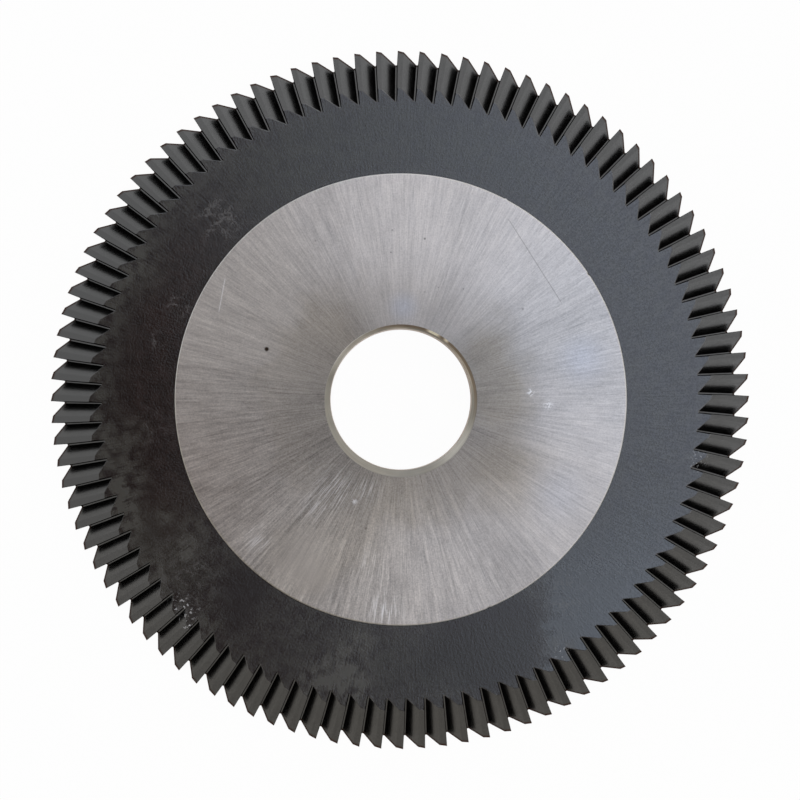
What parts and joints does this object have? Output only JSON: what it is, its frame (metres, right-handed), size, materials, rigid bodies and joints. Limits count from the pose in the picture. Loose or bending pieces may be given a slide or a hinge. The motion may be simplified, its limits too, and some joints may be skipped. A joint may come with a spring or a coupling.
{
  "type": "key cutting wheel",
  "caption": "Steel disc cutter for a key duplicating machine: an angled rim of fine milled teeth, a raised ground hub and a plain bore.",
  "frame": {"origin": "centre of the bore in the plane of the rear hub face, on which the wheel lies", "axes": "+Z along the bore, out of the front face, which the front flank of the teeth looks towards; +X through the tip of one tooth"},
  "size_m": [0.08, 0.08, 0.005],
  "materials": {
    "tool_steel": "black oxide with a semi-gloss on the web and teeth, bare steel with fine radial grinding marks on the hub faces and in the bore"
  },
  "bodies": {
    "root": {"cutting_wheel": "tool_steel"}
  },
  "joints": []
}
